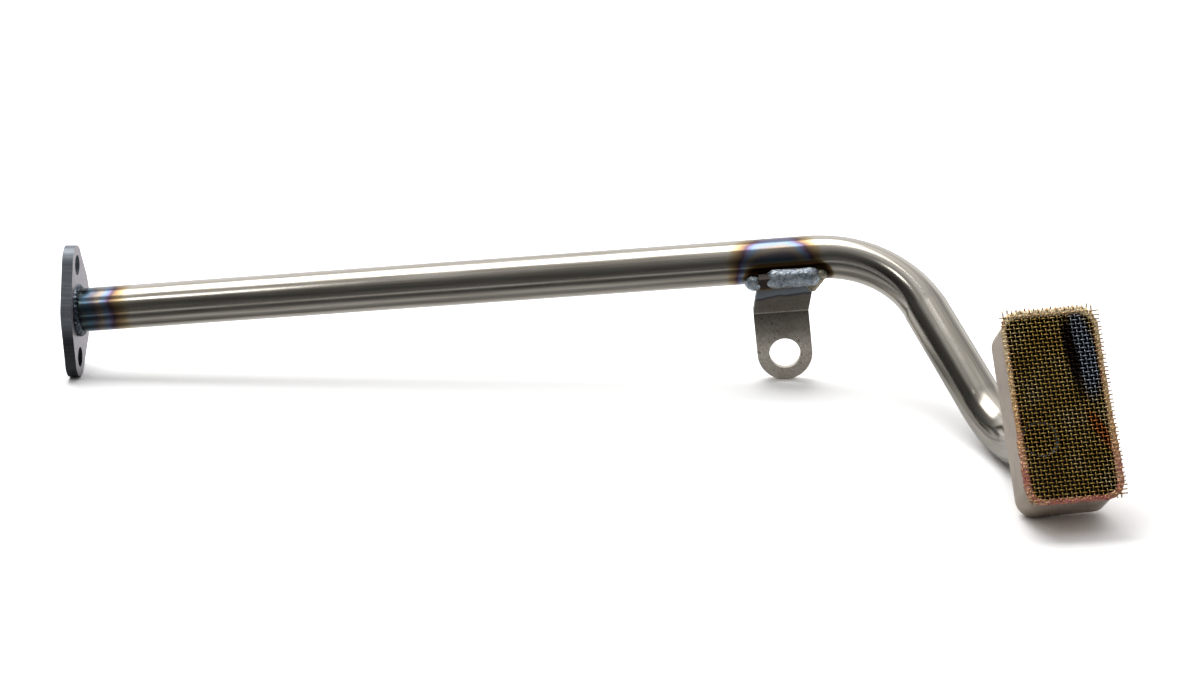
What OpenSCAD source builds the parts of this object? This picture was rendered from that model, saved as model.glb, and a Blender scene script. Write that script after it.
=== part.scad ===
// Oil pickup tube: a bent steel tube with a two-bolt flange at the pump end,
// a welded stud bracket, and a pressed pan with a brazed wire screen at the sump end.
// It lies as it comes to rest on a flat surface, on three feet: the flange's lower end,
// the bracket's round end and one back corner of the pan.
// The origin is the centre of the flange's sealing face. All sizes are in millimetres.

/* [Flange] */
// Thickness of the flange plate
flange_t = 4.8; // [3:0.1:10]
// Distance between the two bolt holes
bolt_pitch = 40.5; // [36:0.5:60]
// Diameter of the bolt holes
bolt_hole_d = 8.7; // [5:0.1:10]
// Radius of the plate's round ends
flange_end_r = 8.7; // [7:0.1:12]
// Radius of the plate's middle on its slim side
flange_slim_r = 14.6; // [13:0.1:20]
// Radius of the plate's middle on its full side
flange_full_r = 22.5; // [15:0.1:24]

/* [Tube] */
// Outer diameter of the tube
tube_od = 19.05; // [15:0.05:22]
// Wall of the tube
tube_wall = 1.65; // [1:0.05:3]
// Angle by which the tube leaves the flange out of square
lean_angle = 4.25; // [0:0.25:10]
// Radius of both bends, to the tube's axis
bend_r = 48.5; // [40:0.5:60]
// Straight run from the flange to the first bend
run_1 = 326.5; // [290:0.5:380]
// Angle of the first bend
bend_1_angle = 68.7; // [50:0.1:80]
// Direction of the first bend round the tube
bend_1_clock_angle = -131.6; // [-150:0.1:-115]
// Straight run between the bends
run_2 = 49.6; // [35:0.1:60]
// Turn of the second bend's plane from the first one's
bend_2_turn_angle = -91.75; // [-110:0.25:-75]
// Angle of the second bend
bend_2_angle = 72; // [55:0.5:85]
// Straight end between the second bend and the pan
run_3 = 4.8; // [4:0.1:15]
// Length of tube inside the pan
inlet_reach = 3; // [1:0.5:8]
// Gap round the tube in the flange and in the pan, which the weld closes
weld_gap = 0.1; // [0.05:0.05:0.3]

/* [Bracket] */
// Distance from the first bend back to the middle of the bracket
bracket_back = 16; // [16:0.5:80]
// Width of the strap
strap_w = 24; // [20:0.5:30]
// Thickness of the strap
strap_t = 3; // [2:0.1:5]
// Direction of the strap's upper leg round the tube
leg_clock_angle = -45.6; // [-60:0.1:-30]
// Length of the leg above the line where it touches the tube
leg_top = 3; // [1:0.5:5]
// Length of the leg from that line to the fold
leg_len = 20.5; // [14:0.5:30]
// Sideways lean of the leg, at its top edge
leg_skew = 3.4; // [0:0.1:5]
// Angle of the fold
fold_angle = 34; // [20:1:50]
// Inner radius of the fold
fold_r = 1.5; // [0.5:0.1:4]
// Length of the tab from the fold to the stud hole
tab_len = 18.4; // [15:0.2:30]
// Sideways lean of the tab, at the stud hole
tab_skew = 0.5; // [0:0.1:2]
// Diameter of the stud hole
stud_hole_d = 13.5; // [8:0.1:16]

/* [Pan] */
// Width of the pan
pan_w = 37; // [34:0.5:50]
// Height of the pan
pan_h = 76; // [60:0.5:100]
// Depth of the pan
pan_d = 27; // [20:0.5:40]
// Sheet thickness of the pan
pan_wall = 1.5; // [1:0.1:2.5]
// Radius of the pan's corners, seen from the front
pan_corner_r = 7; // [6:0.25:12]
// Radius of the pan's back edges
pan_back_r = 5.25; // [3:0.25:5.75]
// Turn of the pan about the tube's end
pan_turn_angle = -16.6; // [-40:0.2:10]
// Distance of the inlet left of the pan's middle
inlet_left = 3.7; // [0:0.1:5]
// Distance of the inlet below the pan's middle
inlet_low = 6; // [0:0.5:20]

/* [Screen] */
// Wires up and down the screen
upright_wires = 9; // [4:1:9]
// Wires across the screen
cross_wires = 16; // [8:1:16]
// Diameter of the wires
wire_d = 1.2; // [0.6:0.1:1.6]
// Depth by which crossing wires press into each other
wire_press = 0.25; // [0.1:0.05:0.4]
// Length of the long cut ends, past the pan at the top and right
fringe_long = 3.4; // [1:0.1:5]
// Length of the short cut ends, past the pan at the bottom and left
fringe_short = 1.2; // [0.8:0.1:3]
// Thickness of the braze under the wires
braze_film = 0.1; // [0.05:0.05:0.3]
// Height of the braze along the rim
braze_h = 1.3; // [0.8:0.1:1.8]
// Width of the braze outside the pan's wall
braze_out = 0.8; // [0.3:0.1:1.2]
// Width of the braze inside the pan's wall
braze_in = 1; // [0.3:0.1:2]

/* [Weld beads] */
// Size of the bead round the tube at the flange
flange_bead_r = 2.7; // [2:0.1:5]
// Size of the bead round the tube at the pan
pan_bead_r = 3.8; // [2:0.1:4.5]
// Radius of the bead over the strap's top edge
front_bead_r = 4.6; // [4:0.1:7]
// Length of that bead, without its round ends
front_bead_len = 15.5; // [8:0.5:20]
// Offset of that bead's middle from the strap's middle
front_bead_off = 6; // [-4:0.1:7]
// Radius of the bead behind the strap
back_bead_r = 3; // [2:0.1:4]
// Distance by which that bead stops short of the strap's edges
back_bead_in = 2; // [0:0.1:4]
// Radius of the blob on the strap's left edge
left_bead_r = 3.9; // [2.5:0.1:5]
// Distance of that blob's middle outside the edge
left_bead_off = 0.6; // [0:0.1:2]
// Radius of the bead down the strap's right edge
right_bead_r = 2.8; // [2:0.1:3.5]

/* [Hidden] */
$fn = 96;

tube_r = tube_od / 2;
bore_r = tube_r - tube_wall;
back_bead_len = strap_w - 2 * back_bead_in;
// Length of solids that cut right through the others
reach = 4 * tube_od;
// Distance by which a cutting solid passes the face that it cuts
cut_past = 1;
// Sides of a wire, half the angle of a side, and the wire's half-width across its flats
wire_sides = 8;
wire_turn = 180 / wire_sides;
wire_flat = wire_d / 2 * cos(wire_turn);
// Lap of the bends into the straight lengths, and the amount by which they are thinner
lap = 0.1;
bend_thin = 0.04;
// Rounds in which the resting feet are found
settle_steps = 6;

mill_steel = "#8d8a80";
cut_steel = "#6f6d6e";
bead_steel = "#9aa0a4";
sheet_steel = "#85807a";
wire_bronze = "#8a7a3a";
braze_copper = "#c98d62";

// Rigid moves as matrices, so that solids and resting feet share one set of frames
function shift(v) = [[1, 0, 0, v[0]], [0, 1, 0, v[1]], [0, 0, 1, v[2]], [0, 0, 0, 1]];
function turn_x(a) = [[1, 0, 0, 0], [0, cos(a), -sin(a), 0], [0, sin(a), cos(a), 0], [0, 0, 0, 1]];
function turn_y(a) = [[cos(a), 0, sin(a), 0], [0, 1, 0, 0], [-sin(a), 0, cos(a), 0], [0, 0, 0, 1]];
function turn_z(a) = [[cos(a), -sin(a), 0, 0], [sin(a), cos(a), 0, 0], [0, 0, 1, 0], [0, 0, 0, 1]];
function bend_by(a) = shift([0, bend_r, 0]) * turn_z(a) * shift([0, -bend_r, 0]);
function point_in(frame, p) = let (q = frame * [p[0], p[1], p[2], 1]) [q[0], q[1], q[2]];
function way_in(frame, v) = let (q = frame * [v[0], v[1], v[2], 0]) [q[0], q[1], q[2]];
function unit(v) = v / norm(v);

// Frames along the tube: x runs down the tube, and each bend turns towards y
tube_frame = turn_y(-lean_angle);
bend_1_place = turn_x(bend_1_clock_angle) * shift([run_1, 0, 0]);
run_2_frame = tube_frame * bend_1_place * bend_by(bend_1_angle);
bend_2_place = turn_x(bend_2_turn_angle) * shift([run_2, 0, 0]);
run_3_frame = run_2_frame * bend_2_place * bend_by(bend_2_angle);

// Pan frame: origin in the middle of the mouth, x right, y up, z out of the mouth
pan_place = turn_x(pan_turn_angle) * turn_y(90) * shift([inlet_left, inlet_low, pan_d + run_3]);
pan_frame = run_3_frame * pan_place;

// Strap frames: x along the tube, y down the strap, z = 0 on its back face
leg_place = turn_x(leg_clock_angle) * shift([run_1 - bracket_back, 0, -tube_r]);
fold_place = shift([0, leg_len, -strap_t - fold_r]);
tab_place = fold_place * turn_x(-fold_angle) * shift([0, 0, strap_t + fold_r]);
tab_frame = tube_frame * leg_place * tab_place;

// Lowest point of a round foot: a disc of radius r on axis n, thickness t, swelled by edge
function foot(c, n, t, r, edge, up) =
    c + n * (n * up > 0 ? 0 : t) + r * unit(n * (n * up) - up) - edge * up;
function flange_foot(up) = foot([0, 0, -bolt_pitch / 2], [1, 0, 0], flange_t, flange_end_r, 0, up);
function tab_foot(up) = foot(point_in(tab_frame, [tab_skew, tab_len, -strap_t]),
                             way_in(tab_frame, [0, 0, 1]), strap_t, strap_w / 2, 0, up);
function pan_foot(up) = foot(point_in(pan_frame, [pan_corner_r - pan_w / 2, pan_corner_r - pan_h / 2,
                                                  pan_back_r - pan_d]),
                             way_in(pan_frame, [0, 0, 1]), 0, pan_corner_r - pan_back_r, pan_back_r, up);
function floor_up(up) =
    let (n = unit(cross(tab_foot(up) - flange_foot(up), pan_foot(up) - flange_foot(up))))
    n * up > 0 ? n : -n;
function settle(up, steps) = steps == 0 ? up : settle(floor_up(up), steps - 1);

// Resting pose: the floor's normal turned to z, the flange's axis above x
rest_up = settle([0, 0, 1], settle_steps);
rest_x = unit([1, 0, 0] - rest_up * rest_up[0]);
rest_y = cross(rest_up, rest_x);
rest_pose = [concat(rest_x, 0), concat(rest_y, 0), concat(rest_up, 0), [0, 0, 0, 1]];

module at_rest() {
    multmatrix(rest_pose) children();
}

module on_tube() {
    at_rest() multmatrix(tube_frame) children();
}

module on_leg() {
    on_tube() multmatrix(leg_place) children();
}

module on_pan() {
    at_rest() multmatrix(run_3_frame) multmatrix(pan_place) children();
}

// Cylinder along x, from one place to another
module bar(r, from, to) {
    translate([from, 0, 0]) rotate([0, 90, 0]) cylinder(r = r, h = to - from);
}

// Straight and bent lengths of the tube, which start at the frame's origin.
// The wall is drawn a little thinner in the bends, which lap into the straight lengths.
module straight_tube(from, to) {
    difference() {
        bar(tube_r, from, to);
        bar(bore_r, from - cut_past, to + cut_past);
    }
}

module bent_bar(r, angle) {
    lap_angle = asin(lap / bend_r);
    translate([0, bend_r, 0]) rotate([0, 0, -90 - lap_angle])
        rotate_extrude(angle = angle + 2 * lap_angle) translate([bend_r, 0]) circle(r);
}

module bent_tube(angle) {
    difference() {
        bent_bar(tube_r - bend_thin, angle);
        bent_bar(bore_r + bend_thin, angle);
    }
}

// Ring of round section about x
module ring(r, section_r) {
    rotate([0, 90, 0]) rotate_extrude() translate([r, 0]) circle(section_r);
}

// Way from a circle's centre to its point on the line along the plate's middle and one end
function flange_way(mid_r) =
    let (tangent = acos((mid_r - flange_end_r) / (bolt_pitch / 2))) [cos(tangent), sin(tangent)];

module flange_outline() {
    full_way = flange_way(flange_full_r);
    slim_way = flange_way(flange_slim_r);
    full_mid = flange_full_r * full_way;
    slim_mid = flange_slim_r * slim_way;
    full_end = [bolt_pitch / 2, 0] + flange_end_r * full_way;
    slim_end = [bolt_pitch / 2, 0] + flange_end_r * slim_way;
    circle(flange_slim_r);
    intersection() {
        circle(flange_full_r);
        translate([-flange_full_r, 0]) square(2 * flange_full_r);
    }
    for (side = [-1, 1]) {
        translate([side * bolt_pitch / 2, 0]) circle(flange_end_r);
    }
    polygon([full_end, full_mid, [-full_mid[0], full_mid[1]], [-full_end[0], full_end[1]],
             -slim_end, -slim_mid, [slim_mid[0], -slim_mid[1]], [slim_end[0], -slim_end[1]]]);
}

module flange() {
    color(cut_steel) at_rest() difference() {
        rotate([0, 90, 0]) linear_extrude(flange_t) flange_outline();
        for (side = [-1, 1]) {
            translate([0, 0, side * bolt_pitch / 2])
                bar(bolt_hole_d / 2, -cut_past, flange_t + cut_past);
        }
        multmatrix(tube_frame) bar(tube_r + weld_gap, -reach, reach);
    }
}

module tube() {
    color(mill_steel) {
        at_rest() difference() {
            multmatrix(tube_frame) straight_tube(-reach, run_1);
            translate([-2 * reach, -reach, -reach]) cube(2 * reach);
        }
        on_tube() multmatrix(bend_1_place) bent_tube(bend_1_angle);
        at_rest() multmatrix(run_2_frame) {
            straight_tube(0, run_2);
            multmatrix(bend_2_place) bent_tube(bend_2_angle);
        }
        at_rest() multmatrix(run_3_frame) straight_tube(0, run_3 + inlet_reach);
    }
}

module flange_weld() {
    color(bead_steel) at_rest() difference() {
        multmatrix(tube_frame) translate([flange_t, 0, 0]) ring(tube_r, flange_bead_r);
        multmatrix(tube_frame) bar(tube_r, -reach, reach);
        translate([flange_t - 2 * reach, -reach, -reach]) cube(2 * reach);
    }
}

module leg_plate(back) {
    translate([0, 0, -strap_t]) linear_extrude(strap_t + back)
        polygon([[leg_skew - strap_w / 2, -leg_top], [leg_skew + strap_w / 2, -leg_top],
                 [strap_w / 2, leg_len], [-strap_w / 2, leg_len]]);
}

module bracket() {
    lap_angle = asin(lap / fold_r);
    color(sheet_steel) on_leg() {
        leg_plate(0);
        multmatrix(fold_place) rotate([90, 0, 90]) rotate([0, 0, 90 - fold_angle - lap_angle])
            rotate_extrude(angle = fold_angle + 2 * lap_angle)
                translate([fold_r + bend_thin, bend_thin - strap_w / 2])
                    square([strap_t - 2 * bend_thin, strap_w - 2 * bend_thin]);
        multmatrix(tab_place) translate([0, 0, -strap_t]) difference() {
            linear_extrude(strap_t) {
                polygon([[-strap_w / 2, 0], [strap_w / 2, 0],
                         [tab_skew + strap_w / 2, tab_len], [tab_skew - strap_w / 2, tab_len]]);
                translate([tab_skew, tab_len]) circle(strap_w / 2);
            }
            translate([tab_skew, tab_len, -cut_past])
                cylinder(d = stud_hole_d, h = strap_t + 2 * cut_past);
        }
    }
}

// Outside of the tube near the bracket, as a solid
module tube_side() {
    bar(tube_r, -reach, run_1);
    multmatrix(bend_1_place) bent_bar(tube_r - bend_thin, bend_1_angle);
}

// Bead laid from one point to another, with round ends
module bead(r, from, to) {
    way = to - from;
    translate(from) rotate([0, acos(way[2] / norm(way)), atan2(way[1], way[0])])
        cylinder(r = r, h = norm(way));
    for (p = [from, to]) {
        translate(p) sphere(r);
    }
}

module front_bead() {
    half = front_bead_len / 2;
    bead(front_bead_r, [front_bead_off - half, 0, 0], [front_bead_off + half, 0, 0]);
}

// Bead on the strap, less the tube, and less the strap with the wedge behind it
module strap_bead() {
    color(bead_steel) on_tube() difference() {
        multmatrix(leg_place) children();
        multmatrix(leg_place) leg_plate(tube_r);
        tube_side();
    }
}

module bracket_weld_front() {
    strap_bead() front_bead();
}

module bracket_weld_back() {
    color(bead_steel) on_tube() difference() {
        multmatrix(leg_place) translate([leg_skew / 2, 2 * back_bead_r, back_bead_r / 2])
            bar(back_bead_r, -back_bead_len / 2, back_bead_len / 2);
        multmatrix(leg_place) translate([-reach / 2, -leg_top, -reach]) cube(reach);
        tube_side();
    }
}

module bracket_weld_left() {
    strap_bead() translate([leg_skew / 2 - strap_w / 2 - left_bead_off, left_bead_r / 2, 0])
        sphere(left_bead_r);
}

module bracket_weld_right() {
    strap_bead() difference() {
        bead(right_bead_r, [strap_w / 2 + leg_skew + right_bead_r, 0, 0],
             [strap_w / 2 + leg_skew / 2, 2 * right_bead_r, -strap_t / 2]);
        front_bead();
    }
}

// Half of the pan's section, from the middle of a corner outwards, mouth at y = 0
module pan_section(corner_r, back_r, depth) {
    translate([0, back_r - depth]) square([corner_r, depth - back_r]);
    translate([0, -depth]) square([corner_r - back_r, depth]);
    translate([corner_r - back_r, back_r - depth]) circle(back_r);
}

// Solid with rounded corners and rounded back edges
module pan_form(w, h, depth, corner_r, back_r) {
    inner_w = w - 2 * corner_r;
    inner_h = h - 2 * corner_r;
    for (x = [-1, 1], y = [-1, 1]) {
        translate([x * inner_w / 2, y * inner_h / 2, 0]) rotate_extrude() intersection() {
            pan_section(corner_r, back_r, depth);
            translate([0, -depth]) square([corner_r, depth]);
        }
    }
    for (x = [-1, 1]) {
        translate([x * inner_w / 2, inner_h / 2, 0]) rotate([90, 0, 0]) linear_extrude(inner_h)
            scale([x, 1]) pan_section(corner_r, back_r, depth);
    }
    for (y = [-1, 1]) {
        translate([-inner_w / 2, y * inner_h / 2, 0]) rotate([90, 0, 90]) linear_extrude(inner_w)
            scale([y, 1]) pan_section(corner_r, back_r, depth);
    }
    translate([-inner_w / 2, -inner_h / 2, -depth]) cube([inner_w, inner_h, depth]);
}

module pan_inlet(r) {
    translate([-inlet_left, -inlet_low, -pan_d - reach]) cylinder(r = r, h = 2 * reach);
}

module pickup_box() {
    color(sheet_steel) on_pan() difference() {
        pan_form(pan_w, pan_h, pan_d, pan_corner_r, pan_back_r);
        translate([0, 0, cut_past])
            pan_form(pan_w - 2 * pan_wall, pan_h - 2 * pan_wall, pan_d - pan_wall + cut_past,
                     pan_corner_r - pan_wall, pan_back_r - pan_wall);
        translate([-inlet_left, -inlet_low, -pan_d - cut_past])
            cylinder(r = tube_r + weld_gap, h = pan_wall + 2 * cut_past);
    }
}

module box_weld() {
    color(bead_steel) on_pan() difference() {
        translate([-inlet_left, -inlet_low, -pan_d]) rotate([0, 90, 0]) ring(tube_r, pan_bead_r);
        pan_inlet(tube_r);
        translate([-reach, -reach, -pan_d]) cube(2 * reach);
    }
}

// Eight-sided wire with a flat towards the pan
module wire(length) {
    rotate([0, 0, wire_turn]) cylinder(d = wire_d, h = length, $fn = wire_sides);
}

// Wires from the pan's rim outwards: uprights lie on the rim, cross wires press into them
module screen_wires() {
    pitch_x = (pan_w - pan_corner_r) / (upright_wires - 1);
    pitch_y = (pan_h - pan_corner_r) / (cross_wires - 1);
    low = braze_film + wire_flat;
    high = low + 2 * wire_flat - wire_press;
    for (i = [0 : upright_wires - 1]) {
        translate([(i - (upright_wires - 1) / 2) * pitch_x, -pan_h / 2 - fringe_short, low])
            rotate([-90, 0, 0]) wire(pan_h + fringe_short + fringe_long);
    }
    for (j = [0 : cross_wires - 1]) {
        translate([-pan_w / 2 - fringe_short, (j - (cross_wires - 1) / 2) * pitch_y, high])
            rotate([0, 90, 0]) wire(pan_w + fringe_short + fringe_long);
    }
}

module screen() {
    color(wire_bronze) on_pan() screen_wires();
}

module rounded_rect(w, h, r) {
    square([w - 2 * r, h], center = true);
    square([w, h - 2 * r], center = true);
    for (x = [-1, 1], y = [-1, 1]) {
        translate([x * (w / 2 - r), y * (h / 2 - r)]) circle(r);
    }
}

module screen_braze() {
    inside = pan_wall + braze_in;
    color(braze_copper) on_pan() difference() {
        linear_extrude(braze_h) difference() {
            rounded_rect(pan_w + 2 * braze_out, pan_h + 2 * braze_out, pan_corner_r + braze_out);
            rounded_rect(pan_w - 2 * inside, pan_h - 2 * inside, pan_corner_r - inside);
        }
        screen_wires();
    }
}

flange();
tube();
flange_weld();
bracket();
bracket_weld_front();
bracket_weld_back();
bracket_weld_left();
bracket_weld_right();
pickup_box();
box_weld();
screen();
screen_braze();
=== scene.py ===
import math
import random

import bpy
import numpy as np
from mathutils import Matrix, Vector, noise


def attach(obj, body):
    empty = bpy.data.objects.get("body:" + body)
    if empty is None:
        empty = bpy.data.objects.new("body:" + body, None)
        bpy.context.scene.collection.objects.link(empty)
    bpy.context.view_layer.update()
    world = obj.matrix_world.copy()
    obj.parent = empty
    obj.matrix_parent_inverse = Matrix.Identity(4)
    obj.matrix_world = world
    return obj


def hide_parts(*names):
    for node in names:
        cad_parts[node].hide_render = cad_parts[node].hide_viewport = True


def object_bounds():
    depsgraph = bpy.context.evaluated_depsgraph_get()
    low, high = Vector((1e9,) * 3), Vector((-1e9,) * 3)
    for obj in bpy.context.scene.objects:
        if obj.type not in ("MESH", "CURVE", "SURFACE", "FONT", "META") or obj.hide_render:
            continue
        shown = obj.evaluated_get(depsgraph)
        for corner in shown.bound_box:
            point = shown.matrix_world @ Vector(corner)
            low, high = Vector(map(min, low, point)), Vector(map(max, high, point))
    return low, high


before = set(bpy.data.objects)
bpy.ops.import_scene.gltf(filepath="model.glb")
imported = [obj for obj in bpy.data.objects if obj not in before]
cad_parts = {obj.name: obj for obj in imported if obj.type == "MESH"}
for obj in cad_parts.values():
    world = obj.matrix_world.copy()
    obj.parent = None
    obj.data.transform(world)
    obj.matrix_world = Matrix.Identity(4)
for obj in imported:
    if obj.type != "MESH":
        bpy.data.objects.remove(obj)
cad_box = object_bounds()

# Tube
# A length of 3/4 inch mild steel tube, drawn, left bare and bent twice on a former.
# The former has flattened both bends a little, and each weld has left temper colours.
# It is swept anew over the solid, whose bends stay round. Lengths are in mm.
MM = 0.001
TUBE_R, BORE_R, BEND_R = 9.525, 7.875, 48.5
TUBE_TILT = -4.25
STRAIGHT_RUN, MIDDLE_RUN = 326.5, 49.6
TUBE_END, INSIDE_PAN = 4.8, 3.0
FLANGE_T = 4.8
# The share of a bend's flattening that widens it the other way
WIDENED = 0.45
SIDES, COURSE_STEP = 72, 1.5


def turned(degrees, axis):
    return Matrix.Rotation(math.radians(degrees), 4, axis)


def shifted(x, y, z):
    return Matrix.Translation((x, y, z))


def swung(degrees):
    """The move along a bend from its start to an angle."""
    return shifted(0, BEND_R, 0) @ turned(degrees, "Z") @ shifted(0, -BEND_R, 0)


# The turn from the part's own frame, square to the flange, to the pose in which it rests
rest_pose = Matrix((
    (0.999908, 0.00291225, -0.0132622, 0),
    (0, 0.976728, 0.214481, 0),
    (0.0135781, -0.214461, 0.976638, 0),
    (0, 0, 0, 1),
))
tube_frame = rest_pose @ turned(TUBE_TILT, "Y")

# The bend table: straight length, clock of the bend after it, its angle and its flattening
BEND_TABLE = (
    (STRAIGHT_RUN, -131.6, 68.7, 0.10),
    (MIDDLE_RUN, -91.75, 72.0, 0.05),
    (TUBE_END + INSIDE_PAN, 0, 0, 0),
)


def tube_course(step):
    """Frames along the tube's axis, each with its run in mm, its twist and its flattening."""
    course = []
    at = tube_frame.copy()
    run, twist = 0.0, 0.0
    for length, clock, angle, flat in BEND_TABLE:
        count = max(2, round(length / step))
        for i in range(count):
            here = length * i / count
            course.append((at @ shifted(here, 0, 0), run + here, twist, 0.0))
        run += length
        twist += math.radians(clock)
        at = at @ shifted(length, 0, 0) @ turned(clock, "X")
        if angle:
            arc = math.radians(angle) * BEND_R
            count = round(arc / step)
            for i in range(count):
                share = i / count
                flattened = flat * math.sin(math.pi * share) ** 0.6
                course.append((at @ swung(angle * share), run + arc * share, twist, flattened))
            run += arc
            at = at @ swung(angle)
    course.append((at, run, twist, 0.0))
    return course


def built(name, points, faces):
    """A new smooth mesh object in the scene."""
    mesh = bpy.data.meshes.new(name)
    mesh.from_pydata([tuple(p) for p in points], [], faces)
    mesh.polygons.foreach_set("use_smooth", [True] * len(faces))
    made = bpy.data.objects.new(name, mesh)
    bpy.context.scene.collection.objects.link(made)
    return made


def grid_faces(rows, columns, first=0, closed=False):
    """Quads between rings of points, one ring after another, and back to the first if closed."""
    faces = []
    for i in range(rows if closed else rows - 1):
        here, there = first + i * columns, first + (i + 1) % rows * columns
        for k in range(columns):
            after = (k + 1) % columns
            faces.append((here + k, here + after, there + after, there + k))
    return faces


def store(made, name, values):
    """Keeps a number or a place for each point of a mesh, for its material to read."""
    values = np.asarray(values, np.float32)
    kind, field = ("FLOAT", "value") if values.ndim == 1 else ("FLOAT_VECTOR", "vector")
    made.data.attributes.new(name, kind, "POINT").data.foreach_set(field, values.ravel())


# The strap's frame, to know how far each place on the tube is from the bead on its top edge
LEG_CLOCK, BRACKET_AT = -45.6, 310.5
leg_frame = tube_frame @ turned(LEG_CLOCK, "X") @ shifted(BRACKET_AT, 0, -TUBE_R)
to_leg = leg_frame.inverted()


def gap_to_bead(p, low, high, stretch=1.0):
    """Distance in mm from a bead along the strap's top, with lengthwise distance stretched."""
    q = to_leg @ p
    past = max(low - q.x, q.x - high, 0.0) * stretch
    return math.hypot(past, q.y, q.z)


# How far the temper colours reach from each weld, and the burnt scale from the strap's bead
FLANGE_TINT, BRACKET_TINT, PAN_TINT, BURN = 24.0, 20.8, 12.0, 3.6
# The bead's ends and half width as the tint sees them, and as the scale does
TINT_ENDS, TINT_STRETCH, TINT_FROM = (-5.2, 3.4), 1.39, 4.7
BURN_ENDS, BURN_FROM = (-8.0, 16.0), 4.6
# The mark for the end inside the pan, which is painted nearly black as shade
INSIDE_SHADE = 4.0
face_way = rest_pose.to_3x3() @ Vector((1, 0, 0))
course = tube_course(COURSE_STEP)
tube_length = course[-1][1]
points, straightened, reach, burn_and_inside_shade = [], [], [], []
for wall_r, order in ((TUBE_R, course), (BORE_R, course[::-1])):
    for place, run, twist, flat in order:
        way = place.to_3x3() @ Vector((1, 0, 0))
        for k in range(SIDES):
            a = 2 * math.pi * k / SIDES
            y = wall_r * (1 - flat) * math.cos(a - twist)
            z = wall_r * (1 + WIDENED * flat) * math.sin(a - twist)
            p = place @ Vector((0, y, z))
            if run == 0:
                # This end is cut flush with the flange's sealing face
                p -= way * (p.dot(face_way) / way.dot(face_way))
            points.append(p * MM)
            straightened.append((run * MM, wall_r * MM * math.cos(a), wall_r * MM * math.sin(a)))
            reach.append(min(
                (run - FLANGE_T - 2) / FLANGE_TINT,
                (gap_to_bead(p, *TINT_ENDS, TINT_STRETCH) - TINT_FROM) / BRACKET_TINT,
                (tube_length - INSIDE_PAN - 3 - run) / PAN_TINT,
            ))
            # The end inside the pan carries the mark for painted shade, together with the burn
            # scale
            shaded_inside = INSIDE_SHADE if run > tube_length - INSIDE_PAN - 1 else 0.0
            burn_and_inside_shade.append(max(shaded_inside, 1 - (gap_to_bead(p, *BURN_ENDS) - BURN_FROM) / BURN))
tube = built("swept_tube", points, grid_faces(2 * len(course), SIDES, closed=True))
store(tube, "straightened", straightened)
store(tube, "weld_reach", reach)
store(tube, "weld_burn_and_inside_shade", burn_and_inside_shade)


def hexed(text):
    """Linear colour from an sRGB hex value."""
    parts = [int(text[i:i + 2], 16) / 255 for i in (1, 3, 5)]
    return [c / 12.92 if c <= 0.04045 else ((c + 0.055) / 1.055) ** 2.4 for c in parts] + [1.0]


def link(tree, node, inputs):
    """Joins sockets to a node's inputs, by name, identifier or place, or sets plain values."""
    for name, value in inputs.items():
        if isinstance(name, int):
            socket = node.inputs[name]
        else:
            socket = next(s for s in node.inputs if name in (s.identifier, s.name))
        if isinstance(value, bpy.types.NodeSocket):
            tree.links.new(value, socket)
        else:
            socket.default_value = value


def add(tree, kind, inputs, out=0, stops=(), **settings):
    """Adds a node with its settings, ramp stops and inputs; gives one output, or all for None."""
    made = tree.nodes.new("ShaderNode" + kind)
    for name, value in settings.items():
        setattr(made, name, value)
    if stops:
        ramp = made.color_ramp
        while len(ramp.elements) < len(stops):
            ramp.elements.new(1.0)
        for element, (place, shade) in zip(ramp.elements, stops):
            element.position = place
            element.color = hexed(shade) if isinstance(shade, str) else (shade, shade, shade, 1.0)
    link(tree, made, inputs)
    return made.outputs if out is None else made.outputs[out]


# Where a mixed colour comes out of a Mix node
MIXED = 2


def metal(name, roughness, metallic=1.0):
    """A new bare metal, with its node tree and its shader; an oxide film lowers metallic."""
    made = bpy.data.materials.new(name)
    made.use_nodes = True
    shader = made.node_tree.nodes["Principled BSDF"]
    link(made.node_tree, shader, {"Metallic": metallic, "Roughness": roughness})
    return made, made.node_tree, shader


# Drawn mild steel, bare: long soft reflections, broken by drawing lines about 0.7 mm apart
# and by dull patches about 9 mm long. Near a weld the oxide film gives slate blue, violet,
# brown, gold and straw in turn, and burnt scale at the strap's bead. The end inside the pan
# is painted nearly black with the scale's darkest colour, as shade.
drawn_steel, tree, shader = metal("drawn_mild_steel", 0.24)
lie = add(tree, "Attribute", {}, "Vector", attribute_name="straightened")
lines = add(tree, "VectorMath", {0: lie, 1: (1 / 0.05, 1 / 0.0014, 1 / 0.0014)},
            operation="MULTIPLY")
lines = add(tree, "TexNoise", {"Vector": lines, "Scale": 1.0, "Detail": 3.0})
patches = add(tree, "VectorMath", {0: lie, 1: (1 / 0.018, 1 / 0.006, 1 / 0.006)},
              operation="MULTIPLY")
patches = add(tree, "TexNoise", {"Vector": patches, "Scale": 1.0, "Detail": 4.0})
bare = add(tree, "ValToRGB", {"Fac": lines},
           stops=((0.3, "#9f998d"), (0.5, "#b3ada3"), (0.75, "#c1bdb6")))
wander = add(tree, "Math", {0: patches, 1: 0.36, 2: -0.18}, operation="MULTIPLY_ADD")
heat_at = add(tree, "Attribute", {}, "Fac", attribute_name="weld_reach")
heat_at = add(tree, "Math", {0: heat_at, 1: wander}, operation="ADD")
temper = add(tree, "ValToRGB", {"Fac": heat_at}, stops=(
    (0.0, "#3c4146"), (0.05, "#525d5c"), (0.16, "#4b6475"), (0.27, "#5f5c65"),
    (0.375, "#867b6e"), (0.48, "#697c92"), (0.55, "#69607c"), (0.60, "#5a4850"),
    (0.70, "#866948"), (0.80, "#9c865d"), (0.91, "#ac9e80"), (1.0, "#b3ada3")))
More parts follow.
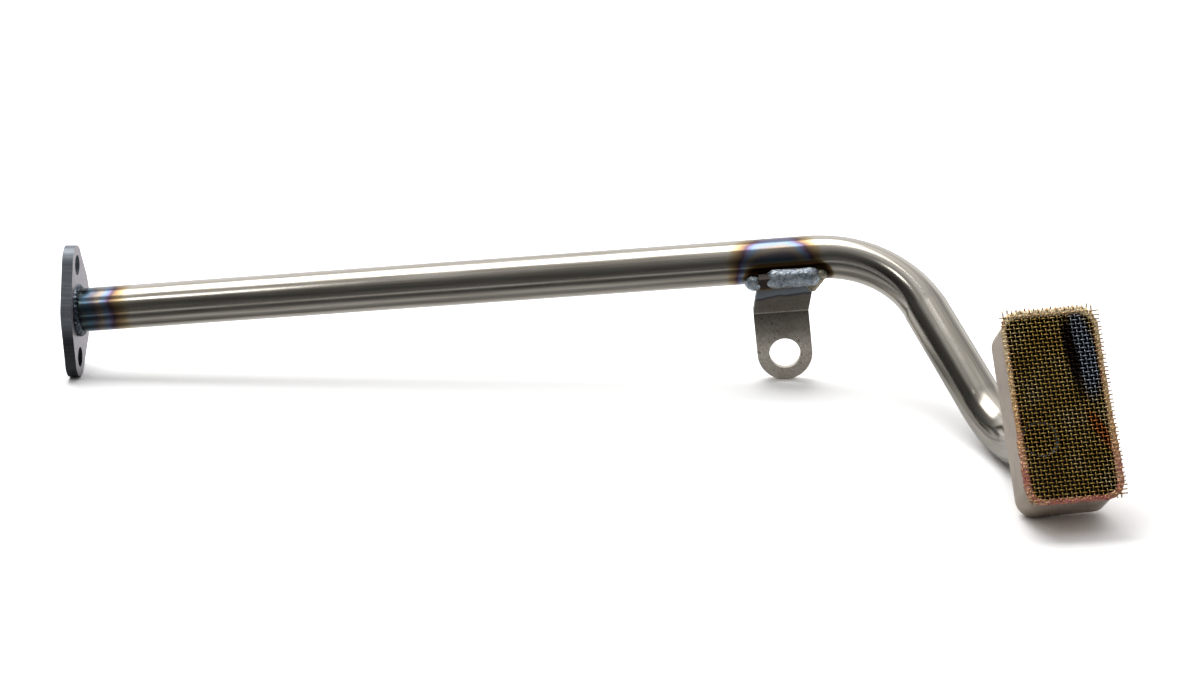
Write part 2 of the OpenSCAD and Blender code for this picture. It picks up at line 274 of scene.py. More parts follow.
tinted = add(tree, "ValToRGB", {"Fac": heat_at}, stops=((0.62, 1.0), (0.82, 0.8), (1.0, 0.0)))
colour = add(tree, "Mix", {"Factor_Float": tinted, "A_Color": bare, "B_Color": temper}, MIXED,
             data_type="RGBA")
# One mark carries the burn scale and the painted shade at the end inside the pan
burn_and_shade_at = add(tree, "Attribute", {}, "Fac", attribute_name="weld_burn_and_inside_shade")
burn_and_shade_at = add(tree, "Math", {0: burn_and_shade_at, 1: wander}, operation="ADD")
scale_and_inside_shade = add(tree, "ValToRGB", {"Fac": burn_and_shade_at},
            stops=((0.2, "#6f5f3c"), (0.5, "#4d3721"), (0.8, "#1e130b")))
scaled_and_shaded = add(tree, "ValToRGB", {"Fac": burn_and_shade_at}, stops=((0.08, 0.0), (0.35, 1.0)))
colour = add(tree, "Mix", {"Factor_Float": scaled_and_shaded, "A_Color": colour, "B_Color": scale_and_inside_shade}, MIXED,
             data_type="RGBA")
polish = add(tree, "MapRange", {
    "Value": patches, "From Min": 0.3, "From Max": 0.7, "To Min": 0.14, "To Max": 0.22})
# The end inside the pan is made matt, and is painted nearly black as shade
matt_inside = add(tree, "MapRange", {
    "Value": burn_and_shade_at, "From Min": 2.8, "From Max": 3.6, "To Min": 0.0, "To Max": 0.9})
link(tree, shader, {
    "Base Color": colour,
    "Roughness": add(tree, "Math", {0: polish, 1: matt_inside}, operation="MAXIMUM"),
    "Normal": add(tree, "Bump", {"Height": lines, "Strength": 0.25, "Distance": 0.00004})})
tube.data.materials.append(drawn_steel)
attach(tube, "root")
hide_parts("tube")

# Flange
# A plate of mild steel cut to a two-bolt shape by plasma or laser, with drilled holes.
# The tube stands in its middle hole and is welded on the far side of the sealing face.
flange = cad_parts["flange"]
# Cut plate: pale rolled faces, and darker edges with cut lines about 0.6 mm apart. The lower
# half of the edge is painted darker, as shade.
cut_plate, tree, shader = metal("cut_mild_steel_plate", 0.4, 0.65)
here = add(tree, "NewGeometry", {}, None)
place = here["Position"]
facing = add(tree, "VectorMath", {0: here["Normal"], 1: tuple(face_way)}, "Value",
             operation="DOT_PRODUCT")
facing = add(tree, "Math", {0: facing}, operation="ABSOLUTE")
on_face = add(tree, "Math", {0: facing, 1: 0.7}, operation="GREATER_THAN")
cuts = add(tree, "VectorMath", {0: place, 1: (1 / 0.02, 1 / 0.0012, 1 / 0.0012)},
           operation="MULTIPLY")
cuts = add(tree, "TexNoise", {"Vector": cuts, "Scale": 1.0, "Detail": 3.0})
grain = add(tree, "TexNoise", {"Vector": place, "Scale": 1 / 0.0016, "Detail": 4.0})
edge_colour = add(tree, "ValToRGB", {"Fac": cuts},
                  stops=((0.3, "#727880"), (0.55, "#838990"), (0.75, "#969ca3")))
face_colour = add(tree, "ValToRGB", {"Fac": grain}, stops=((0.3, "#a4a0a7"), (0.7, "#beb9c0")))
# Painted shade: the edge darkens towards its bottom
painted_low_shade = add(tree, "MapRange", {
    "Value": add(tree, "SeparateXYZ", {0: place}, "Z"),
    "From Min": -0.008, "From Max": -0.001, "To Min": 0.2, "To Max": 1.0})
edge_colour = add(tree, "VectorMath", {0: edge_colour, "Scale": painted_low_shade}, operation="SCALE")
link(tree, shader, {
    "Base Color": add(tree, "Mix", {
        "Factor_Float": on_face, "A_Color": edge_colour, "B_Color": face_colour}, MIXED,
        data_type="RGBA"),
    "Normal": add(tree, "Bump", {"Height": cuts, "Strength": 0.3, "Distance": 0.0001})})
flange.data.materials.clear()
flange.data.materials.append(cut_plate)

# Weld beads
# Beads laid by hand with steel filler rod: round the tube at the flange and at the pan, and
# along and beside the strap's top edge. Each pool froze in its turn, which left the ripples.
RIPPLE = 1.9
RING_STEPS = 150
FLANGE_BEAD_R = 1.9


def laid_bead(name, path, sizes, closed=False, sides=28, lift=0.07, seed=0):
    """A rippled bead along a path of points in mm, with a radius for each of them."""
    drift = Vector((7.3 * seed, 3.1 * seed, 1.7 * seed))
    count = len(path)
    points = []
    run = 0.0
    for i in range(count):
        ahead = path[(i + 1) % count] if closed or i + 1 < count else path[i]
        behind = path[i - 1] if closed or i else path[i]
        way = (ahead - behind).normalized()
        side = way.cross(Vector((0.3, -0.8, 0.5))).normalized()
        rise = way.cross(side)
        if i:
            run += (path[i] - path[i - 1]).length
        ripple = 1 + lift * (abs(math.sin(math.pi * run / RIPPLE)) - 0.6)
        for k in range(sides):
            a = 2 * math.pi * k / sides
            out = side * math.cos(a) + rise * math.sin(a)
            p = path[i] + out * sizes[i] * ripple
            p += out * 0.35 * noise.noise(p * 0.55 + drift) * min(1.0, sizes[i] / 2)
            points.append(p * MM)
    faces = grid_faces(count, sides, closed=closed)
    if not closed:
        faces += [tuple(range(sides))[::-1], tuple(range((count - 1) * sides, count * sides))]
    return built(name, points, faces)


def capsule(a, b, r, steps):
    """Points and radii of a round-ended bead from a to b."""
    way = b - a
    length = way.length
    path, sizes = [], []
    for i in range(steps + 1):
        t = -r + (length + 2 * r) * (0.5 - 0.5 * math.cos(math.pi * i / steps))
        over = max(0.0, -t, t - length)
        path.append(a + way * (t / length))
        sizes.append(max(0.05, math.sqrt(max(0.0, r * r - over * over))))
    return path, sizes


# Frozen weld metal: silver grey with a bluish film, glassy where slag has flaked away,
# with grit and pinholes about 0.5 mm across. The pinholes are painted dark as shade and
# the brightest grit pale as glints.
def weld_steel(name, dull, mid, bright):
    """Weld metal in three shades of its film."""
    made, tree, shader = metal(name, 0.3, 0.75)
    place = add(tree, "NewGeometry", {}, "Position")
    grit = add(tree, "TexNoise", {"Vector": place, "Scale": 1 / 0.0011, "Detail": 3.0})
    clouds = add(tree, "TexNoise", {"Vector": place, "Scale": 1 / 0.005, "Detail": 3.0})
    shade = add(tree, "ValToRGB", {"Fac": clouds},
                stops=((0.3, dull), (0.5, mid), (0.7, bright)))
    # Painted shade and highlight: dark pinholes and pale glints in the grit
    grit_shade_and_glints = add(tree, "ValToRGB", {"Fac": grit}, stops=(
        (0.30, "#39404a"), (0.42, "#b4bdc6"), (0.58, "#d4dae0"), (0.68, "#fff4d6")))
    link(tree, shader, {
        "Base Color": add(tree, "Mix", {
            "Factor_Float": 0.8, "A_Color": shade, "B_Color": grit_shade_and_glints}, MIXED,
            data_type="RGBA", blend_type="MULTIPLY"),
        "Roughness": add(tree, "MapRange", {
            "Value": clouds, "From Min": 0.3, "From Max": 0.7, "To Min": 0.2, "To Max": 0.42}),
        "Normal": add(tree, "Bump", {"Height": grit, "Strength": 0.9, "Distance": 0.0005})})
    return made


weld_metal = weld_steel("weld_filler_steel", "#b9c2ca", "#d6dee5", "#e0e4e8")
straw_weld = weld_steel("weld_filler_steel_straw_film", "#a89c84", "#c6baa0", "#d2c8b0")

# Bead at the flange: the same metal, burnt darker by its heat, with its brightest grit painted
# pale as glints
burnt_weld, tree, shader = metal("burnt_weld_steel", 0.36)
place = add(tree, "NewGeometry", {}, "Position")
grit = add(tree, "TexNoise", {"Vector": place, "Scale": 1 / 0.0012, "Detail": 3.0})
link(tree, shader, {
    "Base Color": add(tree, "ValToRGB", {"Fac": grit}, stops=(
        (0.3, "#22242a"), (0.5, "#4a525d"), (0.66, "#77838d"), (0.74, "#ced3d8"))),
    "Normal": add(tree, "Bump", {"Height": grit, "Strength": 0.8, "Distance": 0.0004})})

# Places round the tube, y and z across it
round_tube = []
for i in range(RING_STEPS):
    a = 2 * math.pi * i / RING_STEPS
    round_tube.append((TUBE_R * math.cos(a), TUBE_R * math.sin(a)))
flange_ring = [tube_frame @ Vector((FLANGE_T + 0.3, y, z)) for y, z in round_tube]
flange_bead = laid_bead("flange_bead", flange_ring, [FLANGE_BEAD_R] * RING_STEPS, closed=True,
                        lift=0.16, seed=1)
flange_bead.data.materials.append(burnt_weld)
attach(flange_bead, "root")
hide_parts("flange_weld")

# Each bead's name, its node, its two ends in the strap's frame, its radius and its steps
STRAP_BEADS = (
    ("front_bead", "bracket_weld_front", (-1.7, 0.1, -0.2), (13.7, 0.1, -0.2), 4.45, 60),
    ("left_blob", "bracket_weld_left", (-11.2, 1.9, 0.0), (-10.6, 2.1, -0.2), 3.7, 24),
    ("right_bead", "bracket_weld_right", (18.1, 0.0, 0.0), (13.8, 5.4, -1.5), 2.65, 30),
    ("back_bead", "bracket_weld_back", (-5.6, 6.0, 1.5), (9.0, 6.0, 1.5), 2.8, 50),
)
for number, (name, node, start, end, r, steps) in enumerate(STRAP_BEADS):
    path, sizes = capsule(leg_frame @ Vector(start), leg_frame @ Vector(end), r, steps)
    made = laid_bead(name, path, sizes, lift=0.025, seed=number + 2)
    made.data.materials.append(straw_weld if name == "right_bead" else weld_metal)
    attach(made, "root")
    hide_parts(node)

# Bracket
# A strip of 3 mm mild steel with a punched stud hole and a round end, folded once and
# welded to the tube along its top edge.
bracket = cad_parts["bracket"]
leg_along = leg_frame.to_3x3() @ Vector((1, 0, 0))
leg_down = leg_frame.to_3x3() @ Vector((0, 1, 0))
leg_top = leg_frame.to_translation() * MM
# From the top edge to the fold, and from there to the round end, measured along the leg
LEG_LEN, TAB_DROP = 20.5, 26.0
FOLD = LEG_LEN / (LEG_LEN + TAB_DROP)
# Rolled strip, bare: dull warm grey with fine lines along it about 0.5 mm apart and a few dark
# specks about 0.6 mm wide. Light and shade are painted along it: a highlight on the fold, dark
# just under the fold, and paler down the tab to the round end. The bead has left a burnt
# edge and a slate band with a dark blue border.
rolled_strip, tree, shader = metal("rolled_mild_steel_strip", 0.42, 0.4)
place = add(tree, "NewGeometry", {}, "Position")
from_top = add(tree, "VectorMath", {0: place, 1: tuple(leg_top)}, operation="SUBTRACT")
down = add(tree, "VectorMath", {0: from_top, 1: tuple(leg_down)}, "Value",
           operation="DOT_PRODUCT")
along = add(tree, "VectorMath", {0: from_top, 1: tuple(leg_along)}, "Value",
            operation="DOT_PRODUCT")
specks = add(tree, "TexNoise", {"Vector": place, "Scale": 1 / 0.0019, "Detail": 2.0})
grain = add(tree, "TexNoise", {"Vector": place, "Scale": 1 / 0.0009, "Detail": 3.0})
clouds = add(tree, "TexNoise", {"Vector": place, "Scale": 1 / 0.009, "Detail": 3.0})
lines = add(tree, "VectorMath", {0: place, 1: (1 / 0.02, 1 / 0.001, 1 / 0.001)},
            operation="MULTIPLY")
lines = add(tree, "TexNoise", {"Vector": lines, "Scale": 1.0, "Detail": 2.0})
length = add(tree, "MapRange", {
    "Value": down, "From Min": 0.0, "From Max": (LEG_LEN + TAB_DROP) * MM})
# Painted light and shade along the strip: the highlight on the fold, dark just under it, paler
# down the tab
bare = add(tree, "ValToRGB", {"Fac": length}, stops=(
    (FOLD - 0.1, "#7a746c"), (FOLD - 0.012, "#867f78"), (FOLD, "#d8d2c8"),
    (FOLD + 0.012, "#6a655e"), (FOLD + 0.16, "#9f9990"), (FOLD + 0.3, "#fbf5ea"),
    (1.0, "#fff8ee")))
tone = add(tree, "ValToRGB", {"Fac": clouds}, stops=((0.3, "#dedad6"), (0.7, "#ffffff")))
dots = add(tree, "ValToRGB", {"Fac": specks}, stops=((0.27, "#6e675f"), (0.34, "#ffffff")))
pitted = add(tree, "ValToRGB", {"Fac": grain}, stops=((0.3, "#d2cec9"), (0.7, "#ffffff")))
for share, layer in ((1.0, tone), (0.7, dots), (1.0, pitted)):
    bare = add(tree, "Mix", {"Factor_Float": share, "A_Color": bare, "B_Color": layer}, MIXED,
               data_type="RGBA", blend_type="MULTIPLY")
# The band runs lower at the left end, where the bead was begun
down = add(tree, "Math", {0: along, 1: 0.11, 2: down}, operation="MULTIPLY_ADD")
band = add(tree, "Math", {0: clouds, 1: 0.006, 2: -0.003}, operation="MULTIPLY_ADD")
band = add(tree, "Math", {0: band, 1: down}, operation="ADD")
band = add(tree, "MapRange", {"Value": band, "From Min": 0.0, "From Max": 0.02})
temper = add(tree, "ValToRGB", {"Fac": band}, stops=(
    (0.10, "#2c1d14"), (0.17, "#6d5638"), (0.22, "#5d656c"), (0.40, "#747c83"),
    (0.47, "#2c3140"), (0.53, "#6b5f54"), (0.62, "#6a655e")))
fade = add(tree, "ValToRGB", {"Fac": band}, stops=((0.5, 1.0), (0.62, 0.0)))
link(tree, shader, {
    "Base Color": add(tree, "Mix", {
        "Factor_Float": fade, "A_Color": bare, "B_Color": temper}, MIXED, data_type="RGBA"),
    "Normal": add(tree, "Bump", {"Height": lines, "Strength": 0.2, "Distance": 0.00008})})
bracket.data.materials.clear()
bracket.data.materials.append(rolled_strip)

# Pan
# A shallow box pressed from 1.5 mm mild steel sheet, with a hole in its back for the tube.
# The tube is welded in from outside.
PAN_W, PAN_H, PAN_D, PAN_CORNER_R = 37.0, 76.0, 27.0, 7.0
# The pan's turn about the tube, and how far its middle is from the tube's across and up
PAN_TURN, PAN_ACROSS, PAN_UP = -16.6, 3.7, 6.0
PAN_BEAD_R = 3.2
pan_frame = tube_frame.copy()
for length, clock, angle, flat in BEND_TABLE[:2]:
    pan_frame = pan_frame @ shifted(length, 0, 0) @ turned(clock, "X") @ swung(angle)
pan_frame = pan_frame @ turned(PAN_TURN, "X") @ turned(90, "Y")
pan_frame = pan_frame @ shifted(PAN_ACROSS, PAN_UP, PAN_D + TUBE_END)
pan_back = pan_frame.to_3x3() @ Vector((0, 0, -1))
pan_mouth = pan_frame.to_translation() * MM
pan_middle = pan_frame @ Vector((0, 0, -PAN_D / 2)) * MM
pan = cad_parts["pickup_box"]
# Pressed sheet, bare: satin warm grey, clouded in patches about 10 mm wide, with a straw to
# copper film within 6 mm of the brazed rim.
pressed_sheet, tree, shader = metal("pressed_mild_steel_sheet", 0.36, 0.5)
here = add(tree, "NewGeometry", {}, None)
place = here["Position"]
below = add(tree, "VectorMath", {0: place, 1: tuple(pan_mouth)}, operation="SUBTRACT")
below = add(tree, "VectorMath", {0: below, 1: tuple(pan_back)}, "Value",
            operation="DOT_PRODUCT")
clouds = add(tree, "TexNoise", {"Vector": place, "Scale": 1 / 0.010, "Detail": 4.0})
grain = add(tree, "TexNoise", {"Vector": place, "Scale": 1 / 0.0012, "Detail": 3.0})
bare = add(tree, "ValToRGB", {"Fac": clouds},
           stops=((0.3, "#b4a596"), (0.55, "#cfbfae"), (0.75, "#c4b0aa")))
rim = add(tree, "MapRange", {"Value": below, "From Min": 0.0, "From Max": 0.006})
film = add(tree, "ValToRGB", {"Fac": rim}, stops=(
    (0.0, "#bd8769"), (0.35, "#c7a288"), (0.7, "#c2ad9e"), (1.0, "#cfbfae")))
fade = add(tree, "ValToRGB", {"Fac": rim}, stops=((0.3, 0.9), (1.0, 0.0)))
colour = add(tree, "Mix", {"Factor_Float": fade, "A_Color": bare, "B_Color": film}, MIXED,
             data_type="RGBA")
# Inside, where the sheet faces the pan's own middle, it is painted nearly black as shade
outward = add(tree, "VectorMath", {0: place, 1: tuple(pan_middle)}, operation="SUBTRACT")
outward = add(tree, "VectorMath", {0: outward, 1: here["Normal"]}, "Value",
              operation="DOT_PRODUCT")
inside = add(tree, "Math", {0: outward, 1: 0.0}, operation="LESS_THAN")
link(tree, shader, {
    "Base Color": add(tree, "Mix", {
        "Factor_Float": inside, "A_Color": colour, "B_Color": hexed("#0b0806")}, MIXED,
        data_type="RGBA"),
    "Roughness": add(tree, "MapRange", {
        "Value": clouds, "From Min": 0.3, "From Max": 0.7, "To Min": 0.3, "To Max": 0.42}),
    "Normal": add(tree, "Bump", {"Height": grain, "Strength": 0.15, "Distance": 0.0001})})
pan.data.materials.clear()
pan.data.materials.append(pressed_sheet)

pan_ring = [pan_frame @ Vector((x - PAN_ACROSS, y - PAN_UP, -PAN_D - 0.2)) for x, y in round_tube]
pan_bead = laid_bead("pan_bead", pan_ring, [PAN_BEAD_R] * RING_STEPS, closed=True, seed=9)
# The bead lies on the pan's back, and ends inside the thickness of the sheet
to_pan = pan_frame.inverted()
for vertex in pan_bead.data.vertices:
    local = to_pan @ (vertex.co / MM)
    local.z = min(local.z, -PAN_D + 0.5)
    vertex.co = pan_frame @ local * MM
pan_bead.data.materials.append(weld_metal)
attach(pan_bead, "root")
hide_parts("box_weld")

# Screen
# Plain-woven cloth of drawn wire, about 15 wires to the inch, cut a little larger than the
# pan's mouth so that its ends stand past the rim, and brazed on.
UPRIGHTS, CROSSES = 21, 46
PITCH_U, PITCH_V = 1.757, 1.642
WIRE_R, CRIMP = 0.28, 0.30
CLOTH_Z = 0.90
WIRE_SIDES, PER_CROSSING = 6, 4
FRINGE_LONG, FRINGE_SHORT = 1.9, 0.6
draws = random.Random(4)


def woven(name, count, pitch, other_count, other_pitch, lengthwise, reach):
    """Wires of one direction, each waving over and under the wires that it crosses."""
    points, faces, cloth = [], [], []
    edge = (other_count - 1) / 2 * other_pitch
    for i in range(count):
        fixed = (i - (count - 1) / 2) * pitch + draws.uniform(-0.05, 0.05)
        low = -reach[0] - draws.uniform(-0.2, 0.2)
        high = reach[1] + draws.uniform(-0.3, 0.2)
        splay_low, splay_high = draws.uniform(-0.25, 0.25), draws.uniform(-0.25, 0.25)
        lifted = draws.uniform(-0.1, 0.05)
        steps = round((high - low) / other_pitch * PER_CROSSING)
        first = len(points)
        for s in range(steps + 1):
            t = low + (high - low) * s / steps
            phase = math.pi * (t / other_pitch + (other_count - 1) / 2 + i)
            past = max(0.0, abs(t) - edge) / 3
            side = fixed + past * past * (splay_low if t < 0 else splay_high)
            z = CLOTH_Z + CRIMP * math.cos(phase) * (1 if lengthwise else -1)
            z += past * past * lifted
            for k in range(WIRE_SIDES):
                a = 2 * math.pi * k / WIRE_SIDES
                across, up = side + WIRE_R * math.cos(a), z + WIRE_R * math.sin(a)
                here = Vector((across, t, up)) if lengthwise else Vector((t, across, up))
                points.append(pan_frame @ here * MM)
                cloth.append(here * MM)
        last = first + steps * WIRE_SIDES
        faces += grid_faces(steps + 1, WIRE_SIDES, first)
        faces += [tuple(range(first, first + WIRE_SIDES))[::-1],
                  tuple(range(last, last + WIRE_SIDES))]
    made = built(name, points, faces)
    store(made, "cloth", cloth)
    return made


# Dulled wire: olive gold, browner in clouds about 12 mm wide, with a patch blued by the torch,
# a dark one beside it and a copper streak. It is tinned with braze for 1 to 2 mm at the rim.
dulled_wire, tree, shader = metal("drawn_wire_dulled", 0.38)
lie = add(tree, "Attribute", {}, "Vector", attribute_name="cloth")
at = add(tree, "SeparateXYZ", {0: lie}, None)
clouds = add(tree, "TexNoise", {"Vector": lie, "Scale": 1 / 0.012, "Detail": 3.0})
fine = add(tree, "TexNoise", {"Vector": lie, "Scale": 1 / 0.0015, "Detail": 2.0})
colour = add(tree, "ValToRGB", {"Fac": clouds},
             stops=((0.3, "#c59d4f"), (0.5, "#e7c16a"), (0.7, "#f8dea0")))
# Each patch is a leaning oval: its place across and up, its half sizes, its lean in degrees,
# how soft its edge is, and its colour
PATCHES = (
    (13.6, -11.0, 2.4, 9.0, 26.0, 0.3, "#ff9c50"),
    (12.2, 20.0, 4.6, 18.0, 4.0, 0.25, "#bcc8d8"),
    (7.0, 20.0, 2.4, 17.0, 4.0, 0.3, "#382820"),
)
for across, up, wide, tall, lean, soft, tint in PATCHES:
    moved = add(tree, "Mapping", {
        "Vector": lie, "Location": (across * MM, up * MM, 0),
        "Rotation": (0, 0, math.radians(lean)), "Scale": (wide * MM, tall * MM, 1)},
        vector_type="TEXTURE")
    flat = add(tree, "VectorMath", {0: moved, 1: (1, 1, 0)}, operation="MULTIPLY")
    far = add(tree, "VectorMath", {0: flat}, "Value", operation="LENGTH")
    far = add(tree, "Math", {0: clouds, 1: 0.7, 2: far}, operation="MULTIPLY_ADD")
    blot = add(tree, "MapRange", {
        "Value": far, "From Min": 1.35 + soft, "From Max": 1.35 - soft})
    colour = add(tree, "Mix", {
        "Factor_Float": blot, "A_Color": colour, "B_Color": hexed(tint)}, MIXED,
        data_type="RGBA")
# Painted light and shade: the crests are painted bright and the dips between them nearly black
crest_light_dip_shade = add(tree, "MapRange", {
    "Value": at["Z"], "From Min": (CLOTH_Z - 0.02) * MM,
    "From Max": (CLOTH_Z + CRIMP + WIRE_R) * MM, "To Min": 0.03, "To Max": 1.0})
wire_lit_and_shaded = add(tree, "VectorMath", {0: colour, "Scale": crest_light_dip_shade}, operation="SCALE")
past_side = add(tree, "Math", {0: at["X"]}, operation="ABSOLUTE")
past_side = add(tree, "Math", {0: past_side, 1: PAN_W / 2 * MM}, operation="SUBTRACT")
past_end = add(tree, "Math", {0: at["Y"]}, operation="ABSOLUTE")
past_end = add(tree, "Math", {0: past_end, 1: PAN_H / 2 * MM}, operation="SUBTRACT")
past = add(tree, "Math", {0: past_side, 1: past_end}, operation="MAXIMUM")
ragged = add(tree, "Math", {0: fine, 1: 0.003, 2: -0.0015}, operation="MULTIPLY_ADD")
past = add(tree, "Math", {0: ragged, 1: past}, operation="ADD")
tinned = add(tree, "MapRange", {"Value": past, "From Min": -0.0024, "From Max": -0.0008})
braze_tint = add(tree, "ValToRGB", {"Fac": clouds},
                 stops=((0.3, "#c98a6c"), (0.5, "#e0b27c"), (0.7, "#f0d2a0")))
link(tree, shader, {
    "Base Color": add(tree, "Mix", {
        "Factor_Float": tinned, "A_Color": wire_lit_and_shaded, "B_Color": braze_tint}, MIXED,
        data_type="RGBA"),
    "Normal": add(tree, "Bump", {"Height": fine, "Strength": 0.3, "Distance": 0.0001})})

uprights = woven("screen_uprights", UPRIGHTS, PITCH_U, CROSSES, PITCH_V, True,
                 (PAN_H / 2 + FRINGE_SHORT, PAN_H / 2 + FRINGE_LONG))
crosses = woven("screen_crosses", CROSSES, PITCH_V, UPRIGHTS, PITCH_U, False,
                (PAN_W / 2 + FRINGE_SHORT, PAN_W / 2 + FRINGE_LONG))
for made in (uprights, crosses):
    made.data.materials.append(dulled_wire)
    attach(made, "root")
    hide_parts("screen")

# Braze
# Bronze filler run round the rim with a torch, which wets the wires and the pan's edge and
# sets in small lumps.
BRAZE_IN, BRAZE_STEP, BRAZE_SIDES = 0.3, 0.5, 14
BRAZE_Z, BRAZE_T = 0.55, 0.6
CORNER_STEPS = 24
half_w, half_h = PAN_W / 2 - BRAZE_IN, PAN_H / 2 - BRAZE_IN
corner_r = PAN_CORNER_R - BRAZE_IN
outline = []
for corner, (x, y) in enumerate(((1, 1), (-1, 1), (-1, -1), (1, -1))):
    for i in range(CORNER_STEPS):
        a = math.radians(90 * (corner + i / (CORNER_STEPS - 1)))
        outline.append((x * (half_w - corner_r) + corner_r * math.cos(a),
                        y * (half_h - corner_r) + corner_r * math.sin(a)))
rim_path = []
for i, a in enumerate(outline):
    b = outline[(i + 1) % len(outline)]
    count = max(1, round(math.dist(a, b) / BRAZE_STEP))
    for s in range(count):
        share = s / count
        rim_path.append((a[0] + (b[0] - a[0]) * share, a[1] + (b[1] - a[1]) * share))
points, cloth = [], []
for i, (x, y) in enumerate(rim_path):
    after = rim_path[(i + 1) % len(rim_path)]
    before = rim_path[i - 1]
    way = Vector((after[0] - before[0], after[1] - before[1], 0)).normalized()
    out = Vector((way.y, -way.x, 0))
    up = Vector((0, 0, 1))
    middle = Vector((x, y, BRAZE_Z))
    # The filler lies widest along the top and at both lower sides
    at_top = min(1.0, max(0.0, (y - 33) / 4))
    at_low_side = min(1.0, max(0.0, (-6 - y) / 8)) * min(1.0, abs(x) / half_w) ** 4
    wide = 1.15 + 0.5 * at_top + 0.4 * at_low_side
    for k in range(BRAZE_SIDES):
        a = 2 * math.pi * k / BRAZE_SIDES
        p = middle + out * wide * math.cos(a) + up * 0.62 * math.sin(a)
        lump = 1 + 0.28 * noise.noise(p * 0.9) + 0.16 * noise.noise(p * 2.3)
        p = middle + out * wide * lump * math.cos(a) + up * BRAZE_T * lump * math.sin(a)
        points.append(pan_frame @ p * MM)
        cloth.append(p * MM)
braze = built("rim_braze", points, grid_faces(len(rim_path), BRAZE_SIDES, closed=True))
store(braze, "cloth", cloth)
# Bronze braze: pale gold where it was hot and clean, copper pink to red lower down, in
# lumps about 1 mm wide that glint.
braze_bronze, tree, shader = metal("torch_braze_bronze", 0.22, 0.55)
lie = add(tree, "Attribute", {}, "Vector", attribute_name="cloth")
clouds = add(tree, "TexNoise", {"Vector": lie, "Scale": 1 / 0.006, "Detail": 3.0})
fine = add(tree, "TexNoise", {"Vector": lie, "Scale": 1 / 0.0012, "Detail": 3.0})
height = add(tree, "MapRange", {
    "Value": add(tree, "SeparateXYZ", {0: lie}, "Y"),
    "From Min": -PAN_H / 2 * MM, "From Max": PAN_H / 2 * MM})
height = add(tree, "Math", {0: clouds, 1: 0.9, 2: height}, operation="MULTIPLY_ADD")
height = add(tree, "Math", {0: height, 1: 0.45}, operation="SUBTRACT")
colour = add(tree, "ValToRGB", {"Fac": height}, stops=(
    (0.02, "#e08f80"), (0.14, "#f0b498"), (0.45, "#f6c88c"), (0.9, "#ffe9bc")))
flecks = add(tree, "ValToRGB", {"Fac": fine}, stops=((0.3, "#8a5a48"), (0.45, "#ffffff")))
link(tree, shader, {
    "Base Color": add(tree, "Mix", {
        "Factor_Float": 0.8, "A_Color": colour, "B_Color": flecks}, MIXED,
        data_type="RGBA", blend_type="MULTIPLY"),
    "Normal": add(tree, "Bump", {"Height": fine, "Strength": 1.0, "Distance": 0.0008})})
braze.data.materials.append(braze_bronze)
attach(braze, "root")
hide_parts("screen_braze")

# Stage
# A plain pale floor, a broad soft light above it, a small one from the front left, a dim room
# round them, and the camera at the photo's viewing angle.
FLOOR_SIZE = 8
WHITE = 1.65
bpy.ops.mesh.primitive_plane_add(size=FLOOR_SIZE, location=(0.2, 1.0, cad_box[0][2]))
floor = bpy.context.object
floor.name = "floor"
paper = bpy.data.materials.new("white_paper")
paper.use_nodes = True
tree = paper.node_tree
tree.nodes.remove(tree.nodes["Principled BSDF"])
path = add(tree, "LightPath", {}, None)
spot = add(tree, "SeparateXYZ", {0: add(tree, "NewGeometry", {}, "Position")}, None)
# In the metal the paper is bright under the tube, and further forward at the pan. In front of
# that it lies in the dim room, with two paler strips. Places are shares of the tube's height.
ahead = add(tree, "MapRange", {
    "Value": spot["X"], "From Min": 0.33, "From Max": 0.40, "To Min": 0.0, "To Max": 0.13})
ahead = add(tree, "Math", {0: spot["Y"], 1: ahead}, operation="ADD")
tube_z = add(tree, "Math", {0: spot["X"], 1: 0.088, 2: 0.0285}, operation="MULTIPLY_ADD")
ahead = add(tree, "Math", {0: ahead, 1: tube_z}, operation="DIVIDE")
ahead = add(tree, "MapRange", {"Value": ahead, "From Min": -7.8, "From Max": 0.5})
# The dip just in front of the bright place under the tube is a painted shadow of the tube
dim = add(tree, "ValToRGB", {"Fac": ahead}, stops=(
    (0.0, 0.2), (0.35, 0.95), (0.56, 0.16), (0.70, 0.07), (0.78, 0.22), (0.85, 0.85),
    (0.89, 0.4), (0.92, 0.6), (0.945, 1.0)))
seen = add(tree, "Mix", {
    "Factor_Float": path["Is Glossy Ray"], "A_Float": 1.0, "B_Float": dim}, data_type="FLOAT")
# To the camera the paper is about a stop whiter, so that it shows white and keeps the shadows
whiter = add(tree, "Mix", {
    "Factor_Float": path["Is Camera Ray"], "A_Float": 0.88, "B_Float": WHITE},
    data_type="FLOAT")
shade = add(tree, "Math", {0: seen, 1: whiter}, operation="MULTIPLY")
link(tree, tree.nodes["Material Output"], {"Surface": add(tree, "BsdfDiffuse", {"Color": shade})})
floor.data.materials.append(paper)

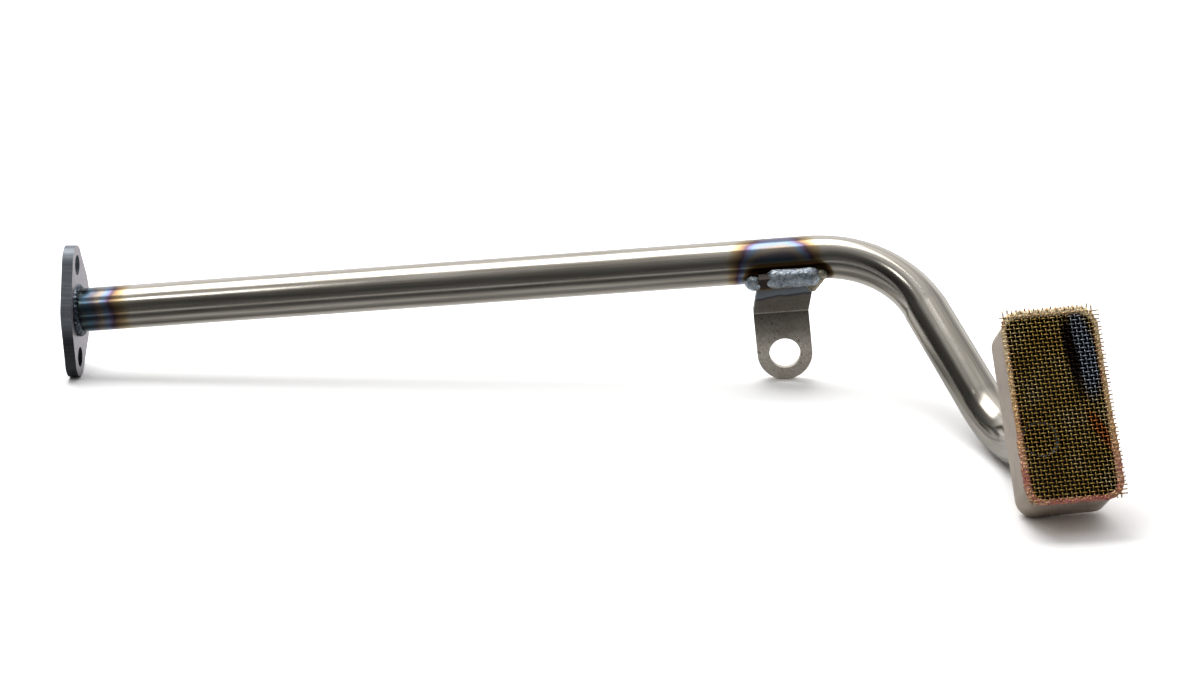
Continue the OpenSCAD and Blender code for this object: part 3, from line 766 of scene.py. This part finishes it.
# The room: dim in front, brighter up towards the back, darker at both sides, and a pale wall
# low at the back
ROOM_LIGHT = 1.25
world = bpy.data.worlds.new("studio")
bpy.context.scene.world = world
world.use_nodes = True
tree = world.node_tree
way = add(tree, "SeparateXYZ", {0: add(tree, "TexCoord", {}, "Generated")}, None)
back = add(tree, "Math", {0: way["Y"], 1: 0.5}, operation="MULTIPLY")
rise = add(tree, "Math", {0: way["Z"], 1: 0.866, 2: back}, operation="MULTIPLY_ADD")
rise = add(tree, "MapRange", {"Value": rise, "From Min": -0.6, "From Max": 1.0})
dome = add(tree, "ValToRGB", {"Fac": rise}, stops=(
    (0.0, 0.127), (0.125, 0.10), (0.25, 0.055), (0.38, 0.085), (0.53, 0.17), (0.61, 0.22),
    (0.675, 0.30), (0.75, 0.42), (0.8375, 0.55), (0.875, 0.56), (0.925, 0.64), (0.969, 0.82),
    (1.0, 1.0)))
aside = add(tree, "Math", {0: way["X"]}, operation="ABSOLUTE")
aside = add(tree, "MapRange", {
    "Value": aside, "From Min": 0.3, "From Max": 0.8, "To Min": 1.0, "To Max": 0.3})
dome = add(tree, "Math", {0: dome, 1: aside}, operation="MULTIPLY")
wall = add(tree, "MapRange", {
    "Value": way["Y"], "From Min": 0.45, "From Max": 0.8, "To Min": 0.0, "To Max": 0.9},
    interpolation_type="SMOOTHSTEP")
dome = add(tree, "Math", {0: dome, 1: wall}, operation="MAXIMUM")
direct = add(tree, "LightPath", {}, "Is Camera Ray")
link(tree, tree.nodes["Background"], {
    "Color": add(tree, "Mix", {
        "Factor_Float": direct, "A_Float": dome, "B_Float": 1.0}, data_type="FLOAT"),
    "Strength": add(tree, "Mix", {
        "Factor_Float": direct, "A_Float": ROOM_LIGHT, "B_Float": 1.0}, data_type="FLOAT")})


def lamp(name, wide, deep, energy, at, aim):
    """A rectangular soft light at one place, turned to another."""
    made = bpy.data.objects.new(name, bpy.data.lights.new(name, "AREA"))
    made.data.shape = "RECTANGLE"
    made.data.size, made.data.size_y = wide, deep
    made.data.energy = energy
    made.location = at
    made.rotation_euler = (Vector(aim) - made.location).to_track_quat("-Z", "Y").to_euler()
    bpy.context.scene.collection.objects.link(made)


lamp("softbox", 0.68, 0.58, 4.4, (0.04, 0.25, 0.8), (0.04, 0.25, 0.0))
lamp("side_light", 0.16, 0.16, 0.45, (-0.22, -0.52, 0.85), (0.06, 0.0, 0.0))

camera = bpy.data.objects.new("camera", bpy.data.cameras.new("camera"))
camera.data.sensor_width = 36
camera.data.lens = 86.54
camera.data.clip_end = 20
camera.location = (0.283543, -1.170425, 0.442123)
view_way = Vector((-0.040329, 0.932423, -0.359009))
camera.rotation_euler = view_way.to_track_quat("-Z", "Y").to_euler()
bpy.context.scene.collection.objects.link(camera)
bpy.context.scene.camera = camera
bpy.context.scene.view_settings.view_transform = "Standard"
